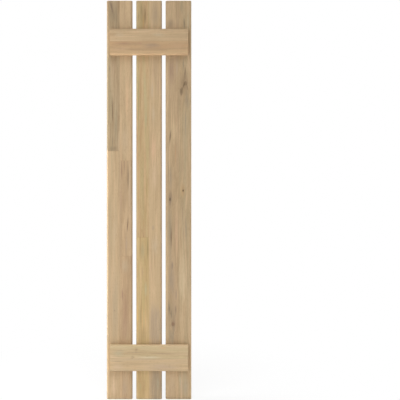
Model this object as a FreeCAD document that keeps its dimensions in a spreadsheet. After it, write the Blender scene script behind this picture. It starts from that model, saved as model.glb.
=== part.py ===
"""Board and batten shutter: three spaced vertical boards held by two cross battens.

Frame: millimetres, +Z up, the show face towards -Y. The origin is on the boards' flat back,
which goes against the wall, at the middle of the shutter's width and height.

Each board and batten is glued up from two staves laid side by side, and some board staves are
themselves two or three lengths that meet in finger joints. The long outer edges are eased and the
ends are cut square. The battens lie across the front of the boards, held by countersunk screws
driven from the back, one through each stave.
"""
import FreeCAD, Part
import Sketcher
import os

# Driving dimensions, in millimetres and degrees. Joint heights are from the shutter's middle.
SIZES = {
    "board_length": "1371.6",
    "board_width": "88.9",
    "board_thickness": "19.05",
    "board_gap": "12.7",
    "batten_width": "88.9",
    "batten_thickness": "19.05",
    "batten_end_inset": "12.7",
    "batten_edge_margin": "101.6",
    "eased_edge_radius": "6.35",
    "left_outer_joint_height": "168",
    "left_inner_upper_joint_height": "135",
    "left_inner_lower_joint_height": "-194",
    "middle_left_joint_height": "-129",
    "finger_length": "10",
    "finger_pitch": "4.76",
    "finger_tip_width": "0.8",
    "screw_shank_diameter": "4.2",
    "screw_head_diameter": "8.4",
    "screw_head_angle": "82",
    "screw_head_rim": "0.4",
    "screw_head_sink": "0.5",
    "screw_point_length": "6",
    "screw_front_cover": "6.35",
    "screw_clearance": "0.1",
    "recess_span": "5",
    "recess_slot_width": "1.1",
    "recess_depth": "1.8",
}

# Board names with their place from the middle one, and batten names with their side of it
BOARDS = {"left": -1, "middle": 0, "right": 1}
BATTENS = {"top": 1, "bottom": -1}

# Board staves: name, board, side of the board's middle, lower joint and upper joint.
# An end with no joint is the board's own end.
BOARD_STAVES = [
    ("left_board_outer_stave_top", "left", -1, "left_outer_joint_height", None),
    ("left_board_outer_stave_bottom", "left", -1, None, "left_outer_joint_height"),
    ("left_board_inner_stave_top", "left", 1, "left_inner_upper_joint_height", None),
    ("left_board_inner_stave_middle", "left", 1, "left_inner_lower_joint_height",
     "left_inner_upper_joint_height"),
    ("left_board_inner_stave_bottom", "left", 1, None, "left_inner_lower_joint_height"),
    ("middle_board_left_stave_top", "middle", -1, "middle_left_joint_height", None),
    ("middle_board_left_stave_bottom", "middle", -1, None, "middle_left_joint_height"),
    ("middle_board_right_stave", "middle", 1, None, None),
    ("right_board_inner_stave", "right", -1, None, None),
    ("right_board_outer_stave", "right", 1, None, None),
]

# Screw names along a batten, from left to right, with their board and side of its middle
SCREW_COLUMNS = {
    "left_outer": ("left", -1),
    "left_inner": ("left", 1),
    "middle_left": ("middle", -1),
    "middle_right": ("middle", 1),
    "right_inner": ("right", -1),
    "right_outer": ("right", 1),
}

# Sizes that follow from the sheet, as expressions
STAVE_WIDTH = "(sizes.board_width / 2)"
BATTEN_STAVE_WIDTH = "(sizes.batten_width / 2)"
BOARD_END = "(sizes.board_length / 2)"
BATTEN_LENGTH = "(3 * sizes.board_width + 2 * sizes.board_gap - 2 * sizes.batten_end_inset)"
BATTEN_HEIGHT = "(sizes.board_length / 2 - sizes.batten_edge_margin - sizes.batten_width / 2)"
FINGER_COUNT = "round(sizes.board_thickness / sizes.finger_pitch)"
FINGER_PITCH = f"(sizes.board_thickness / {FINGER_COUNT})"
HEAD_RADIUS = "(sizes.screw_head_diameter / 2)"
SHANK_RADIUS = "(sizes.screw_shank_diameter / 2)"
HEAD_SLOPE = "tan(sizes.screw_head_angle * 1deg / 2)"
SCREW_LENGTH = ("(sizes.board_thickness + sizes.batten_thickness"
                " - sizes.screw_front_cover - sizes.screw_head_sink)")
PILOT_DEPTH = "(sizes.batten_thickness - sizes.screw_front_cover + sizes.screw_clearance)"

# An eased edge takes at most this share of the wood's thickness
EASED_SHARE_OF_WALL = "0.45"

# Two places closer than this count as one, in millimetres
TOUCHING = 0.001

doc = FreeCAD.newDocument("board_and_batten_shutter")


def fill_sheet():
    """Write the driving dimensions into the spreadsheet, one aliased cell each."""
    sheet = doc.addObject("Spreadsheet::Sheet", "sizes")
    for row, (alias, number) in enumerate(SIZES.items(), start=1):
        sheet.set(f"A{row}", alias.replace("_", " "))
        sheet.set(f"B{row}", number)
        sheet.setAlias(f"B{row}", alias)
    doc.recompute()


fill_sheet()


# Places, as expressions

def stave_middle(board, side):
    """How far right of the shutter's middle a board stave's own middle lies."""
    pitch = "(sizes.board_width + sizes.board_gap)"
    return f"({BOARDS[board]} * {pitch} + {side} * sizes.board_width / 4)"


def batten_stave_height(batten, side):
    """The height of a batten stave's middle, side 1 for the batten's upper stave."""
    return f"({BATTENS[batten]} * {BATTEN_HEIGHT} + {side} * sizes.batten_width / 4)"


def screw_stave_side(column):
    """Which batten stave a screw bites in: neighbouring screws take turns, upper and lower."""
    return 1 if list(SCREW_COLUMNS).index(column) % 2 == 0 else -1


# Drawing and binding

def bind(item, **expressions):
    """Tie properties to expressions, with a double underscore for the dot in a path."""
    for path, expression in expressions.items():
        item.setExpression(path.replace("__", "."), expression)


def new_body(name, x, y, z):
    body = doc.addObject("PartDesign::Body", name)
    body.Label = name
    bind(body, Placement__Base__x=x, Placement__Base__y=y, Placement__Base__z=z)
    return body


def new_sketch(body, name, role):
    """A sketch on one of the body's own origin planes."""
    plane = next(item for item in body.Origin.OriginFeatures if item.Role == role)
    sketch = body.newObject("Sketcher::SketchObject", name)
    sketch.AttachmentSupport = (plane, "")
    sketch.MapMode = "FlatFace"
    return sketch


def draw_outline(sketch, points):
    """Draw a closed outline of straight lines, its corners joined."""
    corners = [FreeCAD.Vector(x, y, 0) for x, y in points]
    count = len(corners)
    for index in range(count):
        line = Part.LineSegment(corners[index], corners[(index + 1) % count])
        sketch.addGeometry(line, False)
    for index in range(count):
        joined = Sketcher.Constraint("Coincident", index, 2, (index + 1) % count, 1)
        sketch.addConstraint(joined)


def constrain(sketch, kind, *places):
    sketch.addConstraint(Sketcher.Constraint(kind, *places))


def dimension(sketch, name, expression, kind, *places):
    """A named dimension tied to its expression."""
    value = float(sketch.evalExpression(expression))
    index = sketch.addConstraint(Sketcher.Constraint(kind, *places, value))
    sketch.renameConstraint(index, name)
    sketch.setExpression(f"Constraints.{name}", expression)


# A sketch's own origin, as constraints name it: a line and a point on it
ORIGIN = (-1, 1)


def draw_section(sketch, width, thickness):
    """A stave's section: centred on the sketch's vertical axis, its back edge through the origin."""
    draw_outline(sketch, [(-1, -1), (1, -1), (1, 0), (-1, 0)])
    front, right, back, left = range(4)
    constrain(sketch, "Horizontal", front)
    constrain(sketch, "Horizontal", back)
    constrain(sketch, "Vertical", right)
    constrain(sketch, "Vertical", left)
    constrain(sketch, "Symmetric", back, 1, back, 2, *ORIGIN)
    dimension(sketch, "width", width, "DistanceX", back, 2, back, 1)
    dimension(sketch, "thickness", thickness, "DistanceY", right, 1, right, 2)


def draw_notch(sketch, middle, mouth_height, opens_down):
    """One finger-shaped notch: wide at its mouth and as narrow as a finger's tip at its end."""
    mouth, first_side, end, second_side = range(4)
    rise = 1 if opens_down else -1
    draw_outline(sketch, [(-2, 0), (2, 0), (1, rise), (-1, rise)])
    constrain(sketch, "Horizontal", mouth)
    constrain(sketch, "Horizontal", end)
    constrain(sketch, "Equal", first_side, second_side)
    dimension(sketch, "mouth_width", f"{FINGER_PITCH} - sizes.finger_tip_width",
              "DistanceX", mouth, 1, mouth, 2)
    dimension(sketch, "tip_width", "sizes.finger_tip_width", "DistanceX", end, 2, end, 1)
    dimension(sketch, "finger_length", f"{rise} * sizes.finger_length",
              "DistanceY", mouth, 2, end, 1)
    dimension(sketch, "mouth_start",
              f"{middle} - ({FINGER_PITCH} - sizes.finger_tip_width) / 2",
              "DistanceX", *ORIGIN, mouth, 1)
    dimension(sketch, "mouth_height", mouth_height, "DistanceY", *ORIGIN, mouth, 1)


# Features

def pad_stave(body, side, width, thickness, length):
    """A straight stave along the body's Z with its two free long edges eased.

    side is the free long side, -1 or 1 along X. The other long side is glued, so it stays
    square, and the ends are cut square.
    """
    sketch = new_sketch(body, f"{body.Name}_section", "XY_Plane")
    draw_section(sketch, width, thickness)
    pad = body.newObject("PartDesign::Pad", f"{body.Name}_pad")
    pad.Profile = sketch
    bind(pad, Length=length)
    doc.recompute()

    box = pad.Shape.BoundBox
    free_x = box.XMax if side > 0 else box.XMin
    eased = []
    for number, edge in enumerate(pad.Shape.Edges, start=1):
        middle = edge.CenterOfMass
        upright = box.ZMin + TOUCHING < middle.z < box.ZMax - TOUCHING
        if upright and abs(middle.x - free_x) < TOUCHING:
            eased.append(f"Edge{number}")
    fillet = body.newObject("PartDesign::Fillet", f"{body.Name}_eased_edges")
    fillet.Base = (pad, eased)
    bind(fillet, Radius=f"min(sizes.eased_edge_radius; {thickness} * {EASED_SHARE_OF_WALL})")
    doc.recompute()


def cut_fingers(body, label, first_middle, mouth_height, opens_down, count):
    """A row of notches across the stave's thickness, cut through its whole width."""
    sketch = new_sketch(body, f"{body.Name}_{label}_notch", "YZ_Plane")
    draw_notch(sketch, first_middle, mouth_height, opens_down)
    notch = body.newObject("PartDesign::Pocket", f"{body.Name}_{label}_cut")
    notch.Profile = sketch
    notch.Type = "ThroughAll"
    notch.SideType = "Symmetric"
    doc.recompute()
    row = body.newObject("PartDesign::LinearPattern", f"{body.Name}_{label}_row")
    row.Originals = [notch]
    row.Direction = (sketch, ["H_Axis"])
    row.Reversed = True
    row.Mode = "Spacing"
    bind(row, Offset=FINGER_PITCH, Occurrences=count)
    body.Tip = row
    doc.recompute()


def drill_from_back(body, heights, countersunk, depth=None):
    """Screw holes drilled into the back face on the stave's middle line."""
    sketch = new_sketch(body, f"{body.Name}_hole_centres", "XZ_Plane")
    for index, height in enumerate(heights):
        sketch.addGeometry(Part.Circle(FreeCAD.Vector(0, index, 0), FreeCAD.Vector(0, 0, 1), 1),
                           False)
        constrain(sketch, "Vertical", *ORIGIN, index, 3)
        dimension(sketch, f"height_{index + 1}", height, "DistanceY", *ORIGIN, index, 3)
        dimension(sketch, f"radius_{index + 1}", SHANK_RADIUS, "Radius", index)
    doc.recompute()
    hole = body.newObject("PartDesign::Hole", f"{body.Name}_screw_holes")
    hole.Profile = sketch
    hole.Reversed = True
    hole.DrillPoint = "Flat"
    bind(hole, Diameter="sizes.screw_shank_diameter + 2 * sizes.screw_clearance")
    if depth is None:
        hole.DepthType = "ThroughAll"
    else:
        hole.DepthType = "Dimension"
        bind(hole, Depth=depth)
    if countersunk:
        hole.HoleCutType = "Countersink"
        hole.HoleCutCustomValues = True
        sink = f"(sizes.screw_head_sink + sizes.screw_head_rim) * {HEAD_SLOPE}"
        bind(hole, HoleCutCountersinkAngle="sizes.screw_head_angle",
             HoleCutDiameter=f"sizes.screw_head_diameter + 2 * ({sink} + sizes.screw_clearance)")
    doc.recompute()


# Sub-parts

def make_board_stave(name, board, side, lower_joint, upper_joint):
    """One stave of a board, or one length of it, from its low end or joint to its high one."""
    low = f"sizes.{lower_joint}" if lower_joint else f"(-{BOARD_END})"
    high = f"(sizes.{upper_joint} + sizes.finger_length)" if upper_joint else BOARD_END
    body = new_body(name, stave_middle(board, side), "0", low)
    length = f"({high} - {low})"
    pad_stave(body, side, STAVE_WIDTH, "sizes.board_thickness", length)
    if lower_joint:
        cut_fingers(body, "lower", f"-{FINGER_PITCH} / 2", "0", True, FINGER_COUNT)
    if upper_joint:
        cut_fingers(body, "upper", "0", length, False, f"{FINGER_COUNT} + 1")

    column = next(key for key, place in SCREW_COLUMNS.items() if place == (board, side))
    ends = {"bottom": lower_joint is None, "top": upper_joint is None}
    heights = [f"{batten_stave_height(batten, screw_stave_side(column))} - {low}"
               for batten, is_end in ends.items() if is_end]
    if heights:
        drill_from_back(body, heights, countersunk=True)
    return body


def make_batten_stave(name, batten, side):
    """One of a batten's two staves, lying along X, with a blind hole for each screw it takes."""
    body = new_body(name, f"-{BATTEN_LENGTH} / 2", "-sizes.board_thickness",
                    batten_stave_height(batten, side))
    quarter_turn = FreeCAD.Rotation(FreeCAD.Vector(0, 1, 0), 90)
    body.Placement = FreeCAD.Placement(body.Placement.Base, quarter_turn)
    pad_stave(body, -side, BATTEN_STAVE_WIDTH, "sizes.batten_thickness", BATTEN_LENGTH)
    reaches = [f"{stave_middle(*place)} + {BATTEN_LENGTH} / 2"
               for column, place in SCREW_COLUMNS.items() if screw_stave_side(column) == side]
    drill_from_back(body, reaches, countersunk=False, depth=PILOT_DEPTH)
    return body


def draw_screw_profile(sketch):
    """Half of a countersunk screw's outline, its axis on the sketch's vertical axis."""
    draw_outline(sketch, [(0, 0), (2, 0), (2, -1), (1, -2), (1, -3), (0, -3)])
    top, rim, head, shank, point, axis = range(6)
    constrain(sketch, "Coincident", top, 1, *ORIGIN)
    constrain(sketch, "Horizontal", top)
    constrain(sketch, "Vertical", rim)
    constrain(sketch, "Vertical", shank)
    constrain(sketch, "Vertical", axis)
    dimension(sketch, "head_radius", HEAD_RADIUS, "DistanceX", top, 1, top, 2)
    dimension(sketch, "rim_height", "sizes.screw_head_rim", "DistanceY", rim, 2, rim, 1)
    dimension(sketch, "head_height", f"({HEAD_RADIUS} - {SHANK_RADIUS}) / {HEAD_SLOPE}",
              "DistanceY", head, 2, head, 1)
    dimension(sketch, "shank_radius", SHANK_RADIUS, "DistanceX", axis, 1, point, 1)
    dimension(sketch, "point_length", "sizes.screw_point_length", "DistanceY", point, 2, point, 1)
    dimension(sketch, "length", SCREW_LENGTH, "DistanceY", axis, 1, axis, 2)


def draw_recess(sketch):
    """A cross of two equal slots about the origin."""
    long, short = 3, 1
    draw_outline(sketch, [
        (-short, -long), (short, -long), (short, -short), (long, -short), (long, short),
        (short, short), (short, long), (-short, long), (-short, short), (-long, short),
        (-long, -short), (-short, -short)])
    for index in (0, 2, 4, 6, 8, 10):
        constrain(sketch, "Horizontal", index)
    for index in (1, 3, 5, 7, 9, 11):
        constrain(sketch, "Vertical", index)
    constrain(sketch, "Symmetric", 0, 1, 6, 1, *ORIGIN)
    constrain(sketch, "Symmetric", 3, 1, 9, 1, *ORIGIN)
    constrain(sketch, "Vertical", 2, 1, 5, 1)
    constrain(sketch, "Vertical", 8, 1, 11, 1)
    constrain(sketch, "Horizontal", 2, 1, 11, 1)
    constrain(sketch, "Horizontal", 5, 1, 8, 1)
    dimension(sketch, "foot_width", "sizes.recess_slot_width", "DistanceX", 0, 1, 0, 2)
    dimension(sketch, "side_width", "sizes.recess_slot_width", "DistanceY", 3, 1, 3, 2)
    dimension(sketch, "span_up", "sizes.recess_span", "DistanceY", 0, 2, 6, 1)
    dimension(sketch, "span_across", "sizes.recess_span", "DistanceX", 9, 2, 3, 1)


def make_screw(name, batten, column):
    """A countersunk wood screw, its head just under the board's back and its point in the batten."""
    height = batten_stave_height(batten, screw_stave_side(column))
    body = new_body(name, stave_middle(*SCREW_COLUMNS[column]), "-sizes.screw_head_sink", height)
    profile = new_sketch(body, f"{name}_profile", "XY_Plane")
    draw_screw_profile(profile)
    turned = body.newObject("PartDesign::Revolution", f"{name}_turned")
    turned.Profile = profile
    turned.ReferenceAxis = (profile, ["V_Axis"])
    doc.recompute()
    cross = new_sketch(body, f"{name}_cross", "XZ_Plane")
    draw_recess(cross)
    recess = body.newObject("PartDesign::Pocket", f"{name}_recess")
    recess.Profile = cross
    recess.Reversed = True
    bind(recess, Length="sizes.recess_depth")
    doc.recompute()
    return body


def check_model(bodies):
    """Stop if an object failed, a cut removed nothing, or a sub-part isn't one good solid."""
    for item in doc.Objects:
        if "Invalid" in item.State or "Error" in item.State:
            raise RuntimeError(f"{item.Label} failed: {item.State}")
        if item.TypeId in ("PartDesign::Pocket", "PartDesign::Hole"):
            if item.Shape.Volume >= item.BaseFeature.Shape.Volume:
                raise RuntimeError(f"{item.Label} cuts nothing")
    for body in bodies:
        if body.Shape.isNull() or not body.Shape.isValid() or len(body.Shape.Solids) != 1:
            raise RuntimeError(f"{body.Label} isn't one valid solid")


bodies = [make_board_stave(*stave) for stave in BOARD_STAVES]
for batten in BATTENS:
    bodies.append(make_batten_stave(f"{batten}_batten_upper_stave", batten, 1))
    bodies.append(make_batten_stave(f"{batten}_batten_lower_stave", batten, -1))
for batten in BATTENS:
    bodies += [make_screw(f"{batten}_screw_{column}", batten, column) for column in SCREW_COLUMNS]

doc.recompute()
check_model(bodies)
os.makedirs("parts", exist_ok=True)
for body in bodies:
    body.Shape.exportStep(f"parts/{body.Label}.step")
print(f"{len(bodies)} sub-parts, {sum(body.Shape.Volume for body in bodies) / 1e9:.6f} cubic metres")
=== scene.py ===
import bmesh
import bpy
import numpy as np
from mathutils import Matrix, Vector


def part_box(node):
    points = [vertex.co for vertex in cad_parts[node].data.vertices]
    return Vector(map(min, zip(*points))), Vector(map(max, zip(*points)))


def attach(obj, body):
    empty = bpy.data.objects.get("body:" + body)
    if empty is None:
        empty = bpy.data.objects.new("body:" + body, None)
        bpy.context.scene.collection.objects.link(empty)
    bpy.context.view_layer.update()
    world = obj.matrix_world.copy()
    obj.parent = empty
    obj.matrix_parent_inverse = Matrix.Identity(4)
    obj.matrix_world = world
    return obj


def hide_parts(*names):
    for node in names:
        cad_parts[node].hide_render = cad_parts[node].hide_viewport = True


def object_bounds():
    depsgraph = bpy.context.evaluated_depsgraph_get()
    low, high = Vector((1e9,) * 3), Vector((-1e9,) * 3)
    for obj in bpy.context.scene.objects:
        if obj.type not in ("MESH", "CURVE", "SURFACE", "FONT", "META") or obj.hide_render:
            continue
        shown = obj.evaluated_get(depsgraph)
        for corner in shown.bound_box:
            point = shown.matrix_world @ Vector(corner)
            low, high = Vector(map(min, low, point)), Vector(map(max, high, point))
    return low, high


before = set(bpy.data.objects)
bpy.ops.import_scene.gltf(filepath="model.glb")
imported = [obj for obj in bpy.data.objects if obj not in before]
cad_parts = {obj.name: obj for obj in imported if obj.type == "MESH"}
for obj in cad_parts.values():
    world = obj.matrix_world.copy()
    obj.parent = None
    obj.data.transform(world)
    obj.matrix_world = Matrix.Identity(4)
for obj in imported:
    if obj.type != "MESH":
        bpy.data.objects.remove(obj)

cad_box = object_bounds()


# Left board. Two staves of bare sanded hardwood are glued side by side. The outer one is made of
# two lengths and the inner one of three, and the lengths meet in finger joints whose teeth show
# on the board's edge. The long outer edges are eased to a quarter-inch round.

MM = 0.001
BOARD_THICKNESS = 19.05 * MM
FINGER_TEETH = 4
FINGER_TIP = 0.8 * MM


def finger_rise(depth, thickness):
    """How far up its joint a point of the zigzag lies, from 0 at the roots to 1 at the tips.

    The distance to the nearest root line rises and falls evenly across the thickness, and is cut
    off by a flat as wide as a finger's tip at both ends of its travel.
    """
    pitch = thickness / FINGER_TEETH
    off_root = np.abs((depth / pitch + 0.5) % 1.0 - 0.5) * pitch
    return np.clip((off_root - FINGER_TIP / 2) / (pitch / 2 - FINGER_TIP), 0.0, 1.0)


RIPPLE_WAVES = (0.31, 0.17, 0.09, 0.055)
RIPPLE_ACROSS = 0.05
RIPPLE_DEPTH = 0.012 * MM


def planed_wander(across, along, seed):
    """A sanded face's slow hollows in metres: the sum of four long sine ripples.

    Across the face a ripple's strength swings by half about 1, so none rises above 1.5. That
    much for each ripple is added to the sum, which keeps it from ever standing proud.
    """
    rng = np.random.default_rng(seed)
    height = np.zeros(np.broadcast(across, along).shape)
    for wavelength in RIPPLE_WAVES:
        phase, turn = rng.uniform(0, 2 * np.pi, 2)
        slant = rng.uniform(-0.6, 0.6)
        height += np.sin(2 * np.pi * (along + slant * across) / wavelength + phase) * (
            1 + 0.5 * np.cos(2 * np.pi * across / RIPPLE_ACROSS + turn))
    return (height + 1.5 * len(RIPPLE_WAVES)) * RIPPLE_DEPTH


EASED_RADIUS = 6.35 * MM
END_ARRIS = 0.7 * MM
WEAR_SEED = 500
WEAR_MEAN = 1.2
WEAR_WAVES = ((1.0, 0.047), (0.6, 0.019), (0.4, 0.0083))
WEAR_DEPTH = 0.16 * MM
DIMPLE_FALL = 1.6

# How closely the points of a stave's skin lie
FRONT_STEP = 1.8 * MM
BACK_STEP = 4.5 * MM
RING_STEP = 2.4 * MM
EASED_POINTS = 7
FLAT_POINTS = 6
ARRIS_RINGS = 4
FEWEST_STEPS = 4
FEWEST_RINGS = 8
CLOSEST_POINTS = 0.12 * MM
CLOSEST_RINGS = 0.02 * MM


def stave_surface(name, grain_axis, free_side, ends, dimples, seed):
    """A stave as one closed skin: a rounded section carried along the grain.

    The section runs along the front, round the free side's two eased edges, back along the rear
    and down the glued side. Near a sawn end it shrinks a little, by a quarter circle, where the
    sharp arris is sanded off; at a finger joint its last ring follows the zigzag of the teeth.
    dimples are hollows in the front, as across, along, half width, half length and depth, each
    deepest at its middle and falling off as a bell.
    """
    low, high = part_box(name)
    wide_axis = 2 if grain_axis == 0 else 0
    thickness = high[1] - low[1]
    front = low[1]
    radius = EASED_RADIUS
    free = high[wide_axis] if free_side > 0 else low[wide_axis]
    glued = low[wide_axis] if free_side > 0 else high[wide_axis]
    arc_centre = free - free_side * radius

    # Depths down the free side, with a sample at every corner of a finger
    turn = np.linspace(0, np.pi / 2, EASED_POINTS)
    depths = [radius * (1 - np.cos(turn)), thickness - radius * (1 - np.cos(turn)),
              np.linspace(radius, thickness - radius, FLAT_POINTS)]
    if "fingers" in ends:
        pitch = thickness / FINGER_TEETH
        roots = np.arange(FINGER_TEETH + 1) * pitch
        tips = roots[:-1] + pitch / 2
        depths += [roots - FINGER_TIP / 2, roots + FINGER_TIP / 2,
                   tips - FINGER_TIP / 2, tips + FINGER_TIP / 2]
    depths = np.unique(np.round(np.concatenate(depths), 7))
    depths = depths[(depths >= 0) & (depths <= thickness + 1e-7)]
    keep = np.r_[True, np.diff(depths) > CLOSEST_POINTS]
    keep[-1] = True
    depths = depths[keep]

    # Each section point is a core point plus the eased radius times an outward direction
    front_arc = depths < radius
    back_arc = depths > thickness - radius
    sweep = np.where(front_arc, np.arccos(np.clip((radius - depths) / radius, -1, 1)), 0)
    sweep = np.where(back_arc, np.arccos(np.clip((depths - thickness + radius) / radius, -1, 1)),
                     sweep)
    curved = front_arc | back_arc
    out_across = np.where(curved, np.sin(sweep), 1.0)
    out_depth = np.where(front_arc, -np.cos(sweep), np.where(back_arc, np.cos(sweep), 0.0))
    fixed_depth = np.where(front_arc, radius, np.where(back_arc, thickness - radius, depths))

    flat_width = abs(arc_centre - glued)
    front_count = max(FEWEST_STEPS, int(round(flat_width / FRONT_STEP)))
    back_count = max(FEWEST_STEPS, int(round(flat_width / BACK_STEP)))
    front_row = np.linspace(glued, arc_centre, front_count + 1)[:-1]
    back_row = np.linspace(arc_centre, glued, back_count + 1)[1:]
    inner = depths[1:-1][::-1]
    inner_fixed = fixed_depth[1:-1][::-1]
    inner_out = out_depth[1:-1][::-1]

    core_across = np.concatenate([
        front_row, np.full(len(depths), arc_centre), back_row, np.full(len(inner), glued)])
    core_depth = np.concatenate([
        np.full(len(front_row), radius), fixed_depth,
        np.full(len(back_row), thickness - radius), inner_fixed])
    outward_across = np.concatenate([
        0 * front_row, free_side * out_across, 0 * back_row, 0 * inner])
    outward_depth = np.concatenate([
        np.full(len(front_row), -1.0), out_depth, np.full(len(back_row), 1.0), inner_out])

    # Rings along the grain, crowded round a sawn end
    length = high[grain_axis] - low[grain_axis]
    ring_count = max(FEWEST_RINGS, int(round(length / RING_STEP)))
    steps = [np.linspace(0, length, ring_count)[1:-1]]
    near = END_ARRIS * (1 - np.cos(np.linspace(0, np.pi / 2, ARRIS_RINGS)))
    for end, kind in enumerate(ends):
        if kind == "sawn":
            steps.append(near if end == 0 else length - near)
        else:
            steps.append(np.array([0.0, length]))
    steps = np.sort(np.concatenate(steps))
    steps = steps[np.r_[True, np.diff(steps) > CLOSEST_RINGS]]
    steps[-1] = length
    from_end = [steps, length - steps]
    sanded = np.zeros(len(steps))
    for end, kind in enumerate(ends):
        if kind == "sawn":
            inside = np.clip(END_ARRIS - from_end[end], 0, END_ARRIS)
            sanded += END_ARRIS - np.sqrt(END_ARRIS ** 2 - inside ** 2)

    # Ends that follow the teeth, and everything between them in proportion
    depth_full = core_depth + radius * outward_depth
    tooth = finger_rise(depth_full, thickness)
    start = np.full(len(depth_full), low[grain_axis])
    stop = np.full(len(depth_full), high[grain_axis])
    if ends[0] == "fingers":
        start = low[grain_axis] + FINGER_LENGTH * tooth
    if ends[1] == "fingers":
        stop = high[grain_axis] - FINGER_LENGTH * (1 - tooth)
    share = (steps / length)[:, None]
    along = start * (1 - share) + stop * share

    # Hollows: the slow wander of a sanded face, softened edges, and the dimples
    on_front = np.isclose(outward_depth, -1.0)[None, :]
    across_full = (core_across + radius * outward_across)[None, :] + 0 * along
    hollow = planed_wander(across_full, along, seed)
    worn = np.abs(outward_across * outward_depth)[None, :]
    edge_rng = np.random.default_rng(seed + WEAR_SEED)
    wear = WEAR_MEAN + 0 * along
    for (weight, wave), phase in zip(WEAR_WAVES, edge_rng.uniform(0, 2 * np.pi, 3)):
        wear = wear + weight * np.sin(along / wave + phase)
    hollow = hollow + np.clip(wear, 0, None) * worn * WEAR_DEPTH
    for middle_across, middle_along, half_across, half_along, deep in dimples:
        spread = ((across_full - middle_across) / half_across) ** 2 + (
            (along - middle_along) / half_along) ** 2
        hollow = hollow + on_front * deep * np.exp(-DIMPLE_FALL * spread)
    eased_out = radius - np.maximum(hollow, sanded[:, None])

    points = np.empty(along.shape + (3,))
    points[..., wide_axis] = core_across + eased_out * outward_across
    points[..., 1] = front + core_depth + eased_out * outward_depth
    points[..., grain_axis] = along
    return close_stave(name, points, len(front_row), len(depths), len(back_row))


def ring_quads(rings, around):
    """Quads between rings of points: a point, its neighbour, and the two on the next ring."""
    here = np.arange(around)
    after = (here + 1) % around
    lower = np.arange(rings - 1)[:, None] * around
    return np.stack([lower + here, lower + after, lower + around + after, lower + around + here],
                    axis=-1).reshape(-1, 4).tolist()


def put_in_scene(name, points, faces):
    """An object of its own, at the origin, with these points and faces."""
    mesh = bpy.data.meshes.new(name)
    mesh.from_pydata(points.reshape(-1, 3).tolist(), [], faces)
    made = bpy.data.objects.new(name, mesh)
    bpy.context.scene.collection.objects.link(made)
    return made


SAME_POINT = 0.003 * MM
NO_LENGTH = 0.002 * MM


def close_stave(name, points, front_count, side_count, back_count):
    """Quads between the rings, and strips across each end from the free side to the glued one."""
    rings, around = points.shape[:2]
    chain = front_count + np.arange(side_count)
    back_corner = front_count + side_count - 1 + back_count
    glued = np.r_[0, back_corner + np.arange(side_count - 2, 0, -1), back_corner]
    faces = ring_quads(rings, around)
    for base in (0, (rings - 1) * around):
        first = list(range(front_count + 2)) + [glued[1]]
        last = [glued[-2], *range(chain[-2], back_corner + 1)]
        strips = np.stack([glued[1:-2], chain[1:-2], chain[2:-1], glued[2:-1]], axis=-1)
        for strip in [first, *strips.tolist(), last]:
            faces.append([base + int(index) for index in strip])

    piece = put_in_scene(f"{name}_wood", points, faces)
    skin = bmesh.new()
    skin.from_mesh(piece.data)
    bmesh.ops.remove_doubles(skin, verts=skin.verts, dist=SAME_POINT)
    bmesh.ops.dissolve_degenerate(skin, edges=skin.edges, dist=NO_LENGTH)
    bmesh.ops.recalc_face_normals(skin, faces=skin.faces)
    skin.to_mesh(piece.data)
    skin.free()
    return piece


def hole_cutter(name, profile, centre):
    """A closed turned solid about a line along Y: its profile of radius and depth swept round."""
    sides = 48
    turn = np.arange(sides) * 2 * np.pi / sides
    radii = np.array([radius for radius, depth in profile])[:, None]
    depths = np.array([depth for radius, depth in profile])[:, None] + 0 * turn
    points = np.stack([centre[0] + radii * np.cos(turn), depths,
                       centre[2] + radii * np.sin(turn)], axis=-1)
    first = np.arange(sides)
    last = (len(profile) - 1) * sides + first
    faces = ring_quads(len(profile), sides) + [first[::-1].tolist(), last.tolist()]
    cutter = put_in_scene(name, points, faces)
    solid = bmesh.new()
    solid.from_mesh(cutter.data)
    bmesh.ops.recalc_face_normals(solid, faces=solid.faces)
    solid.to_mesh(cutter.data)
    solid.free()
    return cutter


SCREW_CLEARANCE = 0.1 * MM
SHANK_RADIUS = 2.1 * MM
COUNTERSINK_RADIUS = 5.1 * MM
COUNTERSINK_HALF_ANGLE = 41
PAST_THE_FACE = 1 * MM
SHARP_EDGE_ANGLE = 38


def drill(piece, node):
    """Cut the screws' holes out of a stave.

    A board stave has a countersink in its back, a cone that narrows to a plain bore right
    through. A batten stave has a plain bore from its back to just past the screw's tip.
    """
    low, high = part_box(node)
    screws = [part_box(name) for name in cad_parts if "_screw_" in name]
    bore = SHANK_RADIUS + SCREW_CLEARANCE
    for number, (screw_low, screw_high) in enumerate(screws):
        centre = (screw_low + screw_high) / 2
        inside = low[0] < centre[0] < high[0] and low[2] < centre[2] < high[2]
        if not inside:
            continue
        if high[1] > screw_high[1]:
            cone = (COUNTERSINK_RADIUS - bore) / np.tan(np.radians(COUNTERSINK_HALF_ANGLE))
            profile = [(bore, low[1] - PAST_THE_FACE),
                       (bore, high[1] - cone),
                       (COUNTERSINK_RADIUS, high[1]),
                       (COUNTERSINK_RADIUS, high[1] + PAST_THE_FACE)]
        else:
            profile = [(bore, screw_low[1] - SCREW_CLEARANCE),
                       (bore, high[1] + PAST_THE_FACE)]
        cutter = hole_cutter(f"{node}_hole_{number}", profile, centre)
        cut = piece.modifiers.new("screw_hole", "BOOLEAN")
        cut.operation = "DIFFERENCE"
        cut.solver = "MANIFOLD"
        cut.object = cutter
    bpy.context.view_layer.update()
    graph = bpy.context.evaluated_depsgraph_get()
    cut_mesh = bpy.data.meshes.new_from_object(piece.evaluated_get(graph))
    cutters = [modifier.object for modifier in piece.modifiers]
    piece.modifiers.clear()
    plain = piece.data
    piece.data = cut_mesh
    cut_mesh.name = plain.name
    bpy.data.meshes.remove(plain)
    for cutter in cutters:
        bpy.data.objects.remove(cutter)
    cut_mesh.shade_smooth()
    cut_mesh.set_sharp_from_angle(angle=np.radians(SHARP_EDGE_ANGLE))


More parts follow.
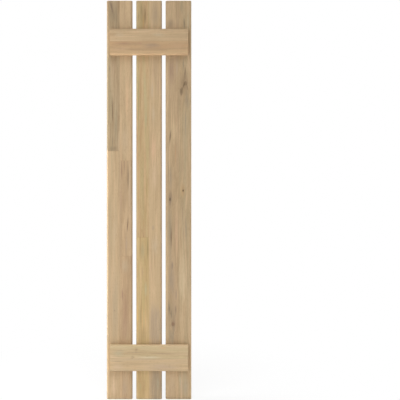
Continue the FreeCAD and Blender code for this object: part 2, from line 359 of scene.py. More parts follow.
class Wire:
    """A shader socket. Arithmetic on it adds Math nodes, and node() adds any other kind."""

    def __init__(self, tree, socket=None):
        self.tree = tree
        self.socket = socket

    def node(self, kind, settings, sockets, output=0):
        """A node of a type: its settings are made first, then its sockets' values or links."""
        made = self.tree.nodes.new(kind)
        for setting, value in settings.items():
            setattr(made, setting, value)
        for key, value in sockets.items():
            if isinstance(value, Wire):
                self.tree.links.new(value.socket, made.inputs[key])
            else:
                made.inputs[key].default_value = value
        return Wire(self.tree, made.outputs[output])

    def math(self, operation, *values):
        """What a Math node makes of these values or links."""
        return self.node("ShaderNodeMath", {"operation": operation}, dict(enumerate(values)))

    def clamped(self):
        """This value, held between 0 and 1."""
        return self.node("ShaderNodeClamp", {}, {0: self})

    def fade(self, start, end):
        """0 up to start, 1 from end on, and an even curve between them."""
        return self.node("ShaderNodeMapRange", {"interpolation_type": "SMOOTHSTEP"},
                         {0: self, 1: start, 2: end, 3: 0.0, 4: 1.0})

    def mixed(self, other, amount, blend="MIX"):
        """This colour turned towards another by an amount, or multiplied by it.

        A Mix node's two colours are its sockets 6 and 7, and the colour it gives is output 2.
        """
        return self.node("ShaderNodeMix", {"data_type": "RGBA", "blend_type": blend},
                         {0: amount, 6: self, 7: other}, output=2)

    def __add__(self, other):
        return self.math("ADD", self, other)

    def __sub__(self, other):
        return self.math("SUBTRACT", self, other)

    def __rsub__(self, other):
        return self.math("SUBTRACT", other, self)

    def __mul__(self, other):
        return self.math("MULTIPLY", self, other)

    def __truediv__(self, other):
        return self.math("DIVIDE", self, other)

    def __rtruediv__(self, other):
        return self.math("DIVIDE", other, self)

    def __pow__(self, other):
        return self.math("POWER", self, other)

    def __abs__(self):
        return self.math("ABSOLUTE", self)

    __radd__ = __add__
    __rmul__ = __mul__


def stain(red, green, blue):
    """A colour as it looks in daylight, from 0 to 255, turned to the light it reflects.

    That is the sRGB curve: a straight foot and, above it, a power of 2.4.
    """
    shown = np.array([red, green, blue]) / 255
    linear = np.where(shown <= 0.04045, shown / 12.92, ((shown + 0.055) / 1.055) ** 2.4)
    return (*linear.tolist(), 1.0)


def mark(x, z, wide, tall, colour, strength, edge=1.0, lean=0.0, ragged=0.7):
    """A stain or streak in the wood, in millimetres from the shutter's middle. A few are partly
    painted shade.

    edge is the share of its half width over which it fades, lean its shift right for each
    millimetre up, and ragged how far the grain frays its outline.
    """
    return dict(x=x, z=z, wide=wide, tall=tall, colour=stain(*colour), strength=strength,
                edge=edge, lean=lean, ragged=ragged)


BARK_BROWN = (164, 140, 108)


def slit(x, z, wide, tall, colour, lean=0.0):
    """A bark-edged slit: a dark, fraying core in a wider and softer stain.

    The stain is 2.8 times as wide and 1.3 times as tall, and halfway to bark brown. The core is
    a quarter wider than the slit, because its outline frays.
    """
    stained = [(part + brown) // 2 for part, brown in zip(colour, BARK_BROWN)]
    return [mark(x, z, wide * 2.8, tall * 1.3, stained, 0.4, lean=lean),
            mark(x, z, wide * 1.25, tall, colour, 0.8, edge=0.9, lean=lean, ragged=0.5)]


def knot(x, z, wide, tall, colour=(84, 70, 58), strength=0.9):
    """A small knot: a dark ragged core with a darker rim, which the grain flows round."""
    return dict(x=x, z=z, wide=wide, tall=tall, colour=stain(*colour), strength=strength,
                edge=0.85, lean=0.0, ragged=0.6, knot=True)


KNOT_FLOW = stain(150, 124, 98)
KNOT_RIM = stain(66, 52, 42)
DARKENED = (0.62, 0.55, 0.48, 1.0)
TINT_FROM = 0.42
TINT_GAIN = 2.6

# A knot's reach as a share of its width and height together, and how far a distance along the
# grain counts beside one across it
KNOT_REACH = 0.45
KNOT_ALONG = 0.45

# The grain in millimetres: each stave's seeded place in it, the slow wander of its lines, and
# the growth layers, with the ranges that their heart's place, lean and spacing are drawn from
FARTHEST_SHIFT = 400
WANDER_WIDE = 55
WANDER_LONG = 260
WANDER = 16
LAYER_WAVES = 7
HEART_ACROSS = (35, 70)
HEART_DEPTH = (20, 60)
STEEPEST_LEAN = 0.035
LAYER_THICKNESS = (5.0, 8.0)

# Half widths in millimetres at which a dark line starts to fade and at which it is gone
GLUE_LINE = (0.1, 0.3)
JOINT_LINE = (0.12, 0.5)
SAWN_END = (0.2, 0.6)


def wood(name, grain_axis, glue_line, joints, sawn, pale, deep, tint, marks, seed):
    """Bare sanded hardwood with its grain along one axis.

    Growth layers are rings about a far-off heart, so that a face shows long lines and an end
    shows arcs. Streaks and fibres are noise drawn out along the grain. pale and deep are the
    wood's own two tones and tint the hue that drifts through them.
    """
    material = bpy.data.materials.new(name)
    material.use_nodes = True
    tree = material.node_tree
    shader = tree.nodes["Principled BSDF"]
    start = Wire(tree)
    place = start.node("ShaderNodeTexCoord", {}, {}, output="Object")
    axes = [start.node("ShaderNodeSeparateXYZ", {}, {0: place}, output=axis) for axis in "XYZ"]
    x_mm, y_mm, z_mm = [axis * 1000 for axis in axes]
    across, along = (z_mm, x_mm) if grain_axis == 0 else (x_mm, z_mm)
    rng = np.random.default_rng(seed)
    shift = rng.uniform(-FARTHEST_SHIFT, FARTHEST_SHIFT, 3)

    def drawn_out(across_wave, along_wave, detail, roughness=0.55, moved=0.0):
        """Noise whose blotches are so wide across the grain and so long along it, in mm."""
        stretched = start.node("ShaderNodeCombineXYZ", {}, {
            0: (bent + shift[0] + moved) / across_wave,
            1: (y_mm + shift[1]) / across_wave,
            2: (along + shift[2]) / along_wave})
        return start.node("ShaderNodeTexNoise", {}, {
            "Vector": stretched, "Scale": 1.0, "Detail": detail, "Roughness": roughness})

    # The grain lines part round each knot: the place across at which the patterns are read is
    # drawn to the knot's own, by its distance times the squared reach over the squares' sum.
    # Then the lines wander slowly on their way.
    bent = across
    for spot in marks:
        if "knot" not in spot:
            continue
        knot_across, knot_along = spot["x"], spot["z"]
        if grain_axis == 0:
            knot_across, knot_along = knot_along, knot_across
        reach = (spot["wide"] + spot["tall"]) * KNOT_REACH
        off = bent - knot_across
        far = off * off + ((along - knot_along) * KNOT_ALONG) ** 2.0
        bent = bent - off * (reach * reach) / (far + reach * reach)
    slow = start.node("ShaderNodeCombineXYZ", {}, {
        0: (across + shift[0]) / WANDER_WIDE,
        1: (y_mm + shift[1]) / WANDER_WIDE,
        2: (along + shift[2]) / WANDER_LONG})
    wander = start.node("ShaderNodeTexNoise", {}, {"Vector": slow, "Scale": 1.0, "Detail": 1.0})
    bent = bent + (wander - 0.5) * WANDER

    broad = drawn_out(19, 330, 2.0)
    streaks = drawn_out(6.5, 130, 3.0, 0.6)
    strands = drawn_out(2.6, 75, 1.0, moved=90)
    fibres = drawn_out(1.5, 40, 2.0, 0.6)
    hue = drawn_out(13, 240, 1.0, moved=170)
    pores = drawn_out(0.42, 13, 0.0).fade(0.66, 0.78)

    # Growth layers: distance from a heart well outside the stave, which leans along the grain
    heart_across = rng.uniform(*HEART_ACROSS) * rng.choice([-1, 1])
    heart_depth = rng.uniform(*HEART_DEPTH)
    heart_lean = rng.uniform(-STEEPEST_LEAN, STEEPEST_LEAN)
    layer_thickness = rng.uniform(*LAYER_THICKNESS)
    sideways = bent + (along * heart_lean - heart_across)
    inwards = y_mm - heart_depth
    ring = (sideways * sideways + inwards * inwards) ** 0.5
    layers = (ring + (streaks - 0.5) * LAYER_WAVES) / layer_thickness
    layer_line = abs(start.math("FRACT", layers) * 2 - 1).fade(0.72, 1.0)

    # Each pattern darkens the wood where it is above its mean, by a weight of its own
    shade = ((broad - 0.5) * 1.9 + (streaks - 0.5) * 2.0 + (strands - 0.5) * 0.9
             + (fibres - 0.5) * 0.8 + layer_line * 0.2 + 0.42).clamped()
    colour = start.node("ShaderNodeRGB", {}, {})
    colour.socket.default_value = stain(*pale)
    colour = colour.mixed(stain(*deep), shade)
    colour = colour.mixed(stain(*tint), (hue - TINT_FROM).clamped() * TINT_GAIN)

    # Marks are ellipses frayed by the grain. A knot has a brown flow twice as tall behind its
    # core, and a dark rim inside its outline.
    for spot in marks:
        half_wide, half_tall = spot["wide"] / 2, spot["tall"] / 2
        up = z_mm - spot["z"]
        right = x_mm - spot["x"] - up * spot["lean"] if spot["lean"] else x_mm - spot["x"]
        out = ((right / half_wide) ** 2.0 + (up / half_tall) ** 2.0) ** 0.5
        out = out + (streaks - 0.5) * (spot["ragged"] * 1.6) + (fibres - 0.5) * spot["ragged"]
        inside = 1 - out.fade(1 - spot["edge"], 1.0)
        if "knot" in spot:
            flow = ((right / half_wide) ** 2.0 + (up / (half_tall * 2)) ** 2.0) ** 0.5
            flow = 1 - (flow + (streaks - 0.5) * 2.4).fade(0.4, 2.6)
            colour = colour.mixed(KNOT_FLOW, flow * 0.45 * spot["strength"])
            rim = out.fade(0.35, 0.65) * (1 - out.fade(0.75, 1.1))
            colour = colour.mixed(spot["colour"], inside * spot["strength"])
            colour = colour.mixed(KNOT_RIM, rim * 0.35 * spot["strength"])
        else:
            frayed = (strands.fade(0.3, 0.7) * 0.8 + 0.6).clamped()
            colour = colour.mixed(spot["colour"], inside * frayed * spot["strength"])

    # Open pores, the hair-thin glue lines beside the stave and along a joint's zigzag, and the
    # darker, ringed end grain
    dark = colour.mixed(DARKENED, 1.0, blend="MULTIPLY")
    colour = colour.mixed(dark, pores * 0.55)
    glue = 1 - abs(across - glue_line).fade(*GLUE_LINE)
    pitch = BOARD_THICKNESS / MM / FINGER_TEETH
    tip = FINGER_TIP / MM
    for joint_height, finger_mm in joints:
        off_root = start.math("PINGPONG", y_mm, pitch / 2)
        rise = ((off_root - tip / 2) / (pitch / 2 - tip)).clamped()
        off_joint = abs(along - joint_height - rise * finger_mm)
        glue = start.math("MAXIMUM", glue, 1 - off_joint.fade(*JOINT_LINE))
    colour = colour.mixed(dark, glue * 0.5)
    end_grain = 0.0
    for sawn_end in sawn:
        end_grain = end_grain + (1 - abs(along - sawn_end).fade(*SAWN_END))
    end_tone = (0.55 + layer_line * 0.35 + (fibres - 0.5) * 0.8).clamped()
    colour = colour.mixed(dark, end_grain * end_tone * 0.6)

    roughness = 0.72 + (fibres - 0.5) * 0.25 + end_grain * 0.12
    relief = fibres * 0.5 - pores * 0.9 - layer_line * 0.25 - glue * 0.6
    bumped = start.node("ShaderNodeBump", {}, {
        "Strength": 0.35, "Distance": 0.12 * MM, "Height": relief})
    tree.links.new(colour.socket, shader.inputs["Base Color"])
    tree.links.new(roughness.socket, shader.inputs["Roughness"])
    tree.links.new(bumped.socket, shader.inputs["Normal"])
    shader.inputs["Specular IOR Level"].default_value = 0.1
    return material


LONGEST_FINGER = 30 * MM
CRISP_EDGE = 0.6
KNOT_HOLLOW_MM = 0.35
STAIN_HOLLOW_MM = 0.2


def stave(name, free_side, pale, deep, tint, marks=(), grain_axis=2, seed=1):
    """Make one stave round its node: its skin, its screw holes and its wood.

    Where another length of the same stave overlaps it by a finger, that end has a finger joint.
    Knots and crisp-edged stains are sunk a little.
    """
    low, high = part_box(name)
    wide_axis = 2 if grain_axis == 0 else 0
    mates = [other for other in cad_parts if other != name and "stave" in other]
    ends = ["sawn", "sawn"]
    joints = []
    for other in mates:
        other_low, other_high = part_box(other)
        in_line = abs(other_low[wide_axis] - low[wide_axis]) < MM and abs(other_low[1] - low[1]) < MM
        overlap = min(high[2], other_high[2]) - max(low[2], other_low[2])
        if grain_axis == 2 and in_line and 0 < overlap < LONGEST_FINGER:
            above = other_low[2] > low[2]
            ends[1 if above else 0] = "fingers"
            joints.append((max(low[2], other_low[2]) / MM, overlap / MM))
    sawn = [place / MM for end, place in zip(ends, (low[grain_axis], high[grain_axis]))
            if end == "sawn"]
    dimples = []
    for spot in marks:
        if "knot" not in spot and spot["edge"] >= CRISP_EDGE:
            continue
        place = (spot["x"], spot["z"])
        halves = (spot["wide"] / 2, spot["tall"] / 2)
        if grain_axis == 0:
            place, halves = place[::-1], halves[::-1]
        sunk = KNOT_HOLLOW_MM if "knot" in spot else STAIN_HOLLOW_MM
        dimples.append([size * MM for size in (*place, *halves, sunk)])
    piece = stave_surface(name, grain_axis, free_side, ends, dimples, seed)
    drill(piece, name)
    glue_line = (low[wide_axis] if free_side > 0 else high[wide_axis]) / MM
    piece.data.materials.clear()
    piece.data.materials.append(
        wood(f"{name}_finish", grain_axis, glue_line, joints, sawn, pale, deep, tint, marks, seed))
    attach(piece, "root")
    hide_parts(name)


upper_low, upper_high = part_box("left_board_outer_stave_top")
lower_low, lower_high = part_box("left_board_outer_stave_bottom")
FINGER_LENGTH = lower_high[2] - upper_low[2]

stave("left_board_outer_stave_top", -1, seed=11,
      pale=(190, 167, 135), deep=(160, 135, 103), tint=(170, 152, 121), marks=[
          mark(-125, 647, 40, 130, (146, 129, 104), 0.6),
          mark(-129, 664, 13, 84, (122, 102, 88), 0.6, lean=-0.3),
          mark(-112, 628, 12, 110, (136, 120, 96), 0.6),
          mark(-121, 632, 7, 52, (128, 116, 94), 0.5),
          mark(-136, 451, 7, 34, (140, 126, 112), 0.5),
          mark(-123, 453, 7, 80, (200, 174, 148), 0.6),
          mark(-115, 263, 19, 200, (160, 150, 124), 0.55),
          *slit(-126, 306, 3.2, 98, (88, 66, 50)),
          mark(-124, 176, 30, 26, (132, 118, 98), 0.55, edge=0.9, ragged=1.0),
          mark(-125, 200, 6, 62, (132, 118, 98), 0.6),
          mark(-103, 196, 9, 120, (196, 172, 140), 0.85, edge=0.5),
          mark(-103, 634, 3.4, 84, (200, 176, 146), 0.6),
      ])
stave("left_board_outer_stave_bottom", -1, seed=12,
      pale=(205, 177, 141), deep=(182, 156, 122), tint=(187, 166, 133), marks=[
          mark(-136, -262, 6, 860, (184, 160, 138), 0.45),
          mark(-117, -107, 22, 214, (194, 174, 144), 0.5),
          # Darker patch down to the bottom batten: the wood's tone, and painted shade above the
          # batten
          mark(-119, -368, 34, 340, (176, 156, 129), 0.6),
          mark(-119, -381, 4.2, 8, (150, 126, 104), 0.7, edge=0.5),
          mark(-120, -644, 29, 110, (212, 186, 154), 0.6),
      ])
stave("left_board_inner_stave_top", 1, seed=13,
      pale=(204, 178, 141), deep=(180, 155, 122), tint=(196, 167, 132), marks=[
          mark(-76, 344, 30, 180, (220, 186, 148), 0.65),
          mark(-100, 361, 6, 240, (200, 178, 146), 0.6),
          mark(-83, 206, 34, 138, (194, 170, 140), 0.6),
          mark(-83, 627, 21, 70, (184, 154, 124), 0.4),
      ])
stave("left_board_inner_stave_middle", 1, seed=14,
      pale=(198, 170, 135), deep=(173, 146, 113), tint=(186, 161, 130), marks=[
          mark(-94, 104, 5, 94, (150, 118, 98), 0.8, edge=0.8),
          mark(-84, 112, 5, 70, (154, 128, 108), 0.7, edge=0.9),
          mark(-72.5, 84, 5.4, 124, (102, 84, 72), 0.95, edge=0.8, ragged=0.4),
          mark(-69, 34, 4.8, 172, (204, 184, 154), 0.6),
          mark(-96, 5, 9, 124, (184, 150, 124), 0.6),
          mark(-93, -69, 17, 48, (178, 150, 116), 0.6),
          *slit(-73.5, -84, 3.2, 62, (108, 78, 64), lean=0.06),
          mark(-78, -150, 11, 86, (180, 158, 138), 0.55),
      ])
stave("left_board_inner_stave_bottom", 1, seed=15,
      pale=(197, 169, 134), deep=(173, 144, 112), tint=(184, 159, 126), marks=[
          mark(-83, -228, 34, 69, (186, 166, 138), 0.7),
          # Darker patch down to the bottom batten: the wood's tone, and painted shade above the
          # batten
          mark(-82, -396, 32, 250, (165, 132, 107), 0.65),
          mark(-91, -326, 8.6, 59, (152, 116, 100), 0.6),
          # Darker patch ending at the bottom batten's top: the wood's tone, and painted shade above
          # the batten
          mark(-84, -440, 28, 110, (172, 143, 117), 0.55),
          mark(-83, -643, 36, 120, (178, 156, 130), 0.75),
      ])


# Middle board. The same two glued staves, the left one in two lengths: an olive and golden
# piece of wood beside a paler, pinkish grey one.

stave("middle_board_left_stave_top", -1, seed=21,
      pale=(205, 176, 137), deep=(183, 152, 113), tint=(182, 165, 122), marks=[
          mark(-21, 640, 41, 120, (158, 136, 100), 0.65),
          mark(-14, 634, 8, 88, (132, 108, 76), 0.75),
          mark(-20, 613, 6, 70, (190, 158, 102), 0.75),
          mark(-27, 655, 5, 60, (144, 124, 88), 0.6),
          mark(-36, 630, 6, 62, (146, 130, 98), 0.6),
          mark(-37, 334, 4.8, 330, (158, 150, 106), 0.7),
          mark(-37, 31, 4.8, 290, (192, 154, 104), 0.7),
          mark(-13, 350, 26, 250, (190, 178, 138), 0.6),
          mark(-10, 275, 12, 70, (176, 170, 134), 0.6),
          mark(-24, 141, 4.8, 131, (180, 144, 106), 0.6),
          mark(-8, 31, 8.3, 176, (164, 142, 90), 0.75),
          mark(-13, -55, 11, 124, (172, 148, 98), 0.65),
          mark(-20, -79, 4.8, 69, (184, 144, 92), 0.6),
      ])
stave("middle_board_left_stave_bottom", -1, seed=22,
      pale=(208, 180, 138), deep=(180, 152, 108), tint=(192, 170, 122), marks=[
          mark(-5, -164, 9, 120, (146, 128, 92), 0.75, ragged=0.4),
          mark(-15, -206, 3.2, 66, (152, 120, 80), 0.65),
          mark(-22, -176, 26, 96, (174, 158, 122), 0.7),
          mark(-23, -248, 10, 69, (184, 150, 122), 0.6),
          mark(-11, -308, 14, 72, (188, 182, 146), 0.7),
          mark(-39, -407, 8.3, 193, (210, 172, 112), 0.7),
          mark(-30, -407, 5.2, 112, (158, 140, 104), 0.7, edge=0.8),
          mark(-23, -424, 5.9, 158, (214, 176, 130), 0.7),
          mark(-13, -420, 4.8, 152, (210, 174, 126), 0.7),
          mark(-18, -462, 4.1, 90, (160, 124, 88), 0.7),
          # Darker patch across the stave just above the bottom batten: painted shade there, with the
          # wood's tone
          mark(-22, -466, 46, 80, (172, 146, 106), 0.6),
          mark(-22, -643, 46, 130, (168, 141, 100), 0.65),
          mark(-29, -643, 6.5, 46, (176, 168, 128), 0.7),
      ])
stave("middle_board_right_stave", 1, seed=23,
      pale=(207, 180, 143), deep=(183, 156, 121), tint=(193, 168, 132), marks=[
          mark(22, 640, 42, 120, (168, 147, 122), 0.65),
          mark(22, 438, 40, 140, (176, 150, 122), 0.6),
          mark(32, 386, 10, 83, (186, 156, 128), 0.5),
          mark(10, 372, 14, 83, (180, 166, 144), 0.5),
          mark(15, 293, 17, 103, (196, 178, 150), 0.6),
          mark(15, 175, 28, 150, (212, 178, 144), 0.8),
          mark(18, 80, 34, 150, (212, 186, 154), 0.6),
          mark(14, -96, 13, 26, (178, 156, 130), 0.6, edge=0.6),
          mark(20, -160, 34, 110, (200, 180, 150), 0.7),
          mark(7, -234, 4.8, 55, (202, 166, 140), 0.7),
          mark(24, -442, 62, 200, (170, 151, 129), 0.7, edge=0.6),
          mark(24, -641, 60, 190, (152, 137, 116), 0.75, edge=0.6),
          mark(30, -634, 12, 55, (168, 162, 138), 0.6),
      ])


# Right board. Two full-length staves, the darkest of the shutter: the inner one purplish with
# two bark-edged slits and two small knots, the outer one greenish grey with a slit and three
# knots, two of them close together.

stave("right_board_inner_stave", -1, seed=31,
      pale=(200, 173, 138), deep=(170, 146, 113), tint=(181, 155, 125), marks=[
          mark(75, 606, 34, 46, (150, 130, 108), 0.6),
          mark(76, 441, 30, 140, (154, 127, 108), 0.65),
          mark(96, 451, 8.3, 76, (188, 168, 142), 0.6),
          mark(93, 272, 4.8, 76, (192, 148, 120), 0.6),
          mark(84, 236, 32, 130, (216, 190, 152), 0.6),
          *slit(73, 219, 4.2, 58, (100, 86, 70), lean=0.1),
          mark(91, 162, 7.6, 120, (190, 150, 112), 0.65),
          mark(74, 76, 11.7, 124, (156, 142, 122), 0.6),
          mark(67, 88, 4, 120, (140, 124, 102), 0.6),
          mark(73, 3, 19, 66, (136, 122, 106), 0.7),
          knot(72, 2, 5.6, 16),
          mark(72, -100, 22, 240, (152, 141, 120), 0.7),
          *slit(76, -124, 2.8, 98, (88, 60, 44)),
          mark(93, -116, 18, 220, (202, 168, 138), 0.65),
          mark(77, -276, 31, 170, (150, 138, 122), 0.65),
          mark(80, -226, 7, 38, (112, 102, 98), 0.7),
          mark(93, -324, 7, 55, (130, 116, 106), 0.55),
          mark(78, -404, 38, 200, (146, 130, 107), 0.75),
          mark(70, -374, 13, 64, (132, 120, 100), 0.6, lean=-0.12),
          mark(76, -391, 14, 58, (124, 111, 93), 0.65, lean=-0.15),
          mark(92, -377, 7, 40, (134, 116, 100), 0.6),
          mark(83, -425, 18, 28, (146, 118, 98), 0.65),
          knot(82, -428, 10, 13, colour=(142, 106, 86), strength=0.5),
          mark(77, -476, 31, 90, (150, 138, 118), 0.65),
          mark(79, -645, 36, 110, (184, 162, 132), 0.65),
      ])
stave("right_board_outer_stave", 1, seed=32,
      pale=(202, 175, 140), deep=(172, 148, 114), tint=(177, 159, 127), marks=[
          mark(112, 668, 21, 76, (150, 138, 112), 0.6),
          *slit(121, 608, 4.2, 50, (116, 104, 86)),
          mark(134, 613, 14, 124, (178, 168, 138), 0.5),
          mark(118, 465, 10, 66, (138, 132, 112), 0.6),
          mark(133, 465, 4, 66, (200, 172, 142), 0.6),
          mark(121, 404, 42, 130, (146, 126, 98), 0.6),
          mark(123, 430, 6, 70, (116, 100, 80), 0.75, lean=0.05),
          knot(126, 402, 12, 17, colour=(126, 104, 82), strength=0.6),
          mark(118, 391, 7, 46, (110, 92, 72), 0.8, lean=0.35),
          mark(132, 387, 5, 46, (126, 106, 84), 0.65, lean=-0.3),
          knot(111, 373, 12, 27, colour=(114, 96, 76), strength=0.7),
          mark(131, 344, 22, 90, (150, 136, 116), 0.65),
          mark(126, 268, 6.5, 156, (140, 132, 116), 0.65),
          mark(120, 175, 4, 230, (206, 180, 152), 0.65),
          mark(113, 120, 4.8, 90, (138, 122, 106), 0.6),
          mark(116, 29, 22, 68, (208, 174, 126), 0.75),
          knot(117, 32, 6.2, 11, colour=(48, 40, 34), strength=1.0),
          mark(115, -38, 3.4, 118, (146, 118, 98), 0.6),
          mark(124, -82, 3.2, 104, (142, 124, 104), 0.6),
          mark(119, -116, 3, 84, (158, 124, 104), 0.55),
          mark(128, -104, 11, 130, (148, 138, 120), 0.6),
          mark(117, -252, 40, 240, (206, 184, 150), 0.65, edge=0.8),
          mark(116, -296, 36, 150, (208, 187, 152), 0.5, edge=0.9),
          mark(123, -643, 40, 120, (176, 164, 142), 0.6),
          mark(107, -622, 11, 66, (190, 180, 154), 0.6),
      ])


# Top batten. An upper and a lower stave glued along their length and laid across the boards,
# with all the outer edges eased like the boards' own. The lower stave is orange-brown.

stave("top_batten_upper_stave", 1, seed=41, grain_axis=0,
      pale=(205, 178, 142), deep=(183, 155, 121), tint=(188, 165, 131), marks=[
          mark(-102, 563, 52, 24, (200, 180, 150), 0.5),
          mark(-52, 584, 34, 10, (196, 158, 130), 0.6),
          mark(32, 562, 60, 19, (192, 176, 148), 0.5),
          mark(79, 573, 14, 4, (152, 132, 112), 0.5),
      ])
stave("top_batten_lower_stave", -1, seed=42, grain_axis=0,
      pale=(198, 168, 130), deep=(174, 145, 113), tint=(192, 158, 121), marks=[
          mark(-85, 532, 76, 18, (162, 128, 104), 0.65),
          mark(10, 524, 86, 27, (156, 136, 116), 0.6),
          mark(14, 530, 56, 5, (132, 110, 94), 0.5, lean=-1.5),
          mark(-31, 533, 21, 12, (186, 144, 120), 0.5),
          mark(93, 525, 84, 32, (194, 164, 130), 0.6),
          mark(-97, 514, 84, 17, (200, 168, 136), 0.6),
      ])


# Bottom batten. The same pair of staves: the upper one yellow-green with wavy dark lines and two
# pin knots, the lower one an even pinkish grey.

stave("bottom_batten_upper_stave", 1, seed=51, grain_axis=0,
      pale=(206, 182, 147), deep=(184, 160, 125), tint=(195, 177, 139), marks=[
          mark(-105, -523, 60, 34, (178, 170, 142), 0.6),
          mark(-100, -512, 72, 5, (150, 140, 116), 0.6, lean=-3.0),
          mark(-45, -519, 84, 5, (158, 142, 116), 0.6),
          mark(60, -523, 142, 5, (156, 136, 110), 0.6),
          mark(3, -536, 110, 14, (208, 198, 168), 0.6),
          mark(110, -534, 42, 14, (212, 194, 150), 0.6),
          mark(46, -504, 31, 9, (204, 168, 128), 0.5),
          knot(-44, -510, 7, 5, colour=(146, 116, 92), strength=0.5),
          knot(-56, -535, 9, 8, colour=(156, 142, 120), strength=0.3),
      ])
stave("bottom_batten_lower_stave", -1, seed=52, grain_axis=0,
      pale=(205, 179, 142), deep=(187, 162, 128), tint=(189, 168, 138), marks=[
          mark(-107, -567, 64, 31, (204, 180, 150), 0.6),
          mark(50, -570, 156, 31, (184, 162, 140), 0.6),
          mark(-105, -549, 66, 4, (150, 132, 110), 0.6),
      ])


# Batten screws. Zinc-plated countersunk steel screws driven from the back, one through each
# board stave, their heads just under the surface.

CLOUDS_PER_METRE = 600.0
FLECKS_PER_METRE = 4200.0


def zinc_plate():
    """Dull zinc plating: a pale yellowish steel with a cloudy sheen and a fine-grained surface."""
    material = bpy.data.materials.new("zinc_plate")
    material.use_nodes = True
    tree = material.node_tree
    shader = tree.nodes["Principled BSDF"]
    start = Wire(tree)
    place = start.node("ShaderNodeTexCoord", {}, {}, output="Object")
    cloud = start.node("ShaderNodeTexNoise", {}, {
        "Vector": place, "Scale": CLOUDS_PER_METRE, "Detail": 3.0})
    fleck = start.node("ShaderNodeTexNoise", {}, {
        "Vector": place, "Scale": FLECKS_PER_METRE, "Detail": 1.0})
    colour = start.node("ShaderNodeRGB", {}, {})
    colour.socket.default_value = stain(196, 192, 180)
    colour = colour.mixed(stain(158, 150, 128), cloud.fade(0.35, 0.7))
    tree.links.new(colour.socket, shader.inputs["Base Color"])
    tree.links.new((0.3 + cloud * 0.25).socket, shader.inputs["Roughness"])
    bumped = start.node("ShaderNodeBump", {}, {
        "Strength": 0.3, "Distance": 0.03 * MM, "Height": fleck})
    tree.links.new(bumped.socket, shader.inputs["Normal"])
    shader.inputs["Metallic"].default_value = 1.0
    return material


plated = zinc_plate()
for node_name, node_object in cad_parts.items():
    if "_screw_" in node_name:
        node_object.data.materials.clear()
        node_object.data.materials.append(plated)


# Studio. A pale floor that fades to white, wide soft lamps above and below that graze the front,
# narrow ones that catch the long edges, one for the back, and a white room.

FLOOR_RADIUS = 6.0
FLOOR_SPOKES = 96
FLOOR_RINGS = 8
SHADOW_SHARE = 0.2
SHADOW_FADE = (0.15, 0.8)
ROOM_LIGHT = 0.05


def looked_at(start):
    """1 for a ray from the camera, a mirroring surface or a clear one, and 0 for any other."""
    seen, mirrored, through = [
        start.node("ShaderNodeLightPath", {}, {}, output=kind)
        for kind in ("Is Camera Ray", "Is Glossy Ray", "Is Transmission Ray")]
    return (seen + mirrored + through).clamped()


def pale_floor():
    """Matt pale floor that is seen as plain white, but for a share of its shadow by the shutter.

    That share fades out with the distance from the shutter. The floor lights nothing by itself.
    """
    material = bpy.data.materials.new("pale_floor")
    material.use_nodes = True
    tree = material.node_tree
    tree.nodes.clear()
    start = Wire(tree)
    place = start.node("ShaderNodeTexCoord", {}, {}, output="Object")
    distance = start.node("ShaderNodeVectorMath", {"operation": "LENGTH"}, {0: place},
                          output="Value")
    matt = start.node("ShaderNodeBsdfDiffuse", {}, {"Color": (0.8, 0.8, 0.8, 1.0)})
    white = start.node("ShaderNodeEmission", {}, {"Color": (1.0, 1.0, 1.0, 1.0)})
    share = looked_at(start) * (distance.fade(*SHADOW_FADE) * SHADOW_SHARE + (1 - SHADOW_SHARE))
    surface = start.node("ShaderNodeMixShader", {}, {0: share, 1: matt, 2: white})
    out = tree.nodes.new("ShaderNodeOutputMaterial")
    tree.links.new(surface.socket, out.inputs["Surface"])
    return material


def floor_disc(radius):
    """A flat disc under the shutter: rings of points at even steps of angle and radius."""
    spokes = np.arange(FLOOR_SPOKES)
    turn = spokes * 2 * np.pi / FLOOR_SPOKES
    rings = radius * np.arange(1, FLOOR_RINGS + 1)[:, None] / FLOOR_RINGS
    flat = np.stack([rings * np.cos(turn), rings * np.sin(turn), 0 * rings + 0 * turn], axis=-1)
    points = np.concatenate([np.zeros((1, 3)), flat.reshape(-1, 3)])
    after = (spokes + 1) % FLOOR_SPOKES
    inner = np.arange(FLOOR_RINGS - 1)[:, None] * FLOOR_SPOKES + 1
    outer = inner + FLOOR_SPOKES
    quads = np.stack([inner + spokes, outer + spokes, outer + after, inner + after], axis=-1)
    fan = np.stack([0 * spokes, spokes + 1, after + 1], axis=-1)
    disc = put_in_scene("floor", points, quads.reshape(-1, 4).tolist() + fan.tolist())
    disc.data.materials.append(pale_floor())
    return disc


floor = floor_disc(FLOOR_RADIUS)
floor.location = (0.0, 0.0, cad_box[0][2])


def soft_lamp(name, place, aim, width, height, power):
    """A rectangular studio lamp turned to face a point, in metres and watts."""
    lamp = bpy.data.lights.new(name, "AREA")
    lamp.shape = "RECTANGLE"
    lamp.size = width
    lamp.size_y = height
    lamp.energy = power
    lit = bpy.data.objects.new(name, lamp)
    lit.location = place
    lit.rotation_euler = (Vector(aim) - Vector(place)).to_track_quat("-Z", "Y").to_euler()
    lit.visible_camera = False
    bpy.context.scene.collection.objects.link(lit)


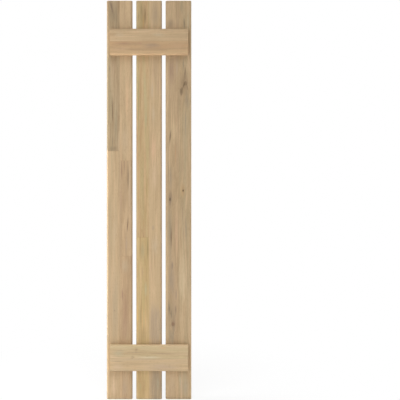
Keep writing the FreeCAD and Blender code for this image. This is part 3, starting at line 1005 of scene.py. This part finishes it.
soft_lamp("upper_lamp", (0, -4.0, 5.8), (0, 0, 0), 8.4, 4.8, 320)
soft_lamp("low_lamp", (0, -4, -0.68), (0, -4, 1), 14.0, 8.0, 98)
soft_lamp("left_lamp", (-1.6, -1.3, 0), (0, 0, 0), 0.6, 1.6, 19)
soft_lamp("left_edge_lamp", (-1.3, 0, 0), (0, 0, 0), 0.2, 1.6, 21)
soft_lamp("right_edge_lamp", (1.3, 0, 0), (0, 0, 0), 0.2, 1.6, 8)
soft_lamp("back_lamp", (0.4, 2.2, 1.7), (0, 0, 0), 2.4, 1.2, 50)

world = bpy.data.worlds.new("white_room")
world.use_nodes = True
world.node_tree.nodes.clear()
room = Wire(world.node_tree)
background = room.node("ShaderNodeBackground", {}, {
    "Color": (1.0, 1.0, 1.0, 1.0),
    "Strength": ROOM_LIGHT + looked_at(room) * (1 - ROOM_LIGHT)})
room_out = world.node_tree.nodes.new("ShaderNodeOutputWorld")
world.node_tree.links.new(background.socket, room_out.inputs["Surface"])
bpy.context.scene.world = world


# Camera. Straight in front of the shutter's middle, about 1.6 metres away, with the picture
# shifted so that the shutter stands left of its centre.

PIXEL_ON_BOARDS = 3.4412 * MM
FOCAL_PIXELS = 470
SHUTTER_MIDDLE_PIXEL = 149.1
SHUTTER_MIDDLE_ROW = 199.9
FRAME_PIXELS = 400
SENSOR_WIDTH_MM = 36.0

camera_data = bpy.data.cameras.new("camera")
camera_data.sensor_width = SENSOR_WIDTH_MM
camera_data.lens = SENSOR_WIDTH_MM * FOCAL_PIXELS / FRAME_PIXELS
camera_data.shift_x = (FRAME_PIXELS / 2 - SHUTTER_MIDDLE_PIXEL) / FRAME_PIXELS
camera_data.shift_y = (SHUTTER_MIDDLE_ROW - FRAME_PIXELS / 2) / FRAME_PIXELS
camera = bpy.data.objects.new("camera", camera_data)
board_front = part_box("middle_board_right_stave")[0][1]
camera.location = (0.0, board_front - FOCAL_PIXELS * PIXEL_ON_BOARDS, 0.0)
camera.rotation_euler = (np.radians(90), 0.0, 0.0)
bpy.context.scene.collection.objects.link(camera)
bpy.context.scene.camera = camera
bpy.context.scene.view_settings.view_transform = "Standard"
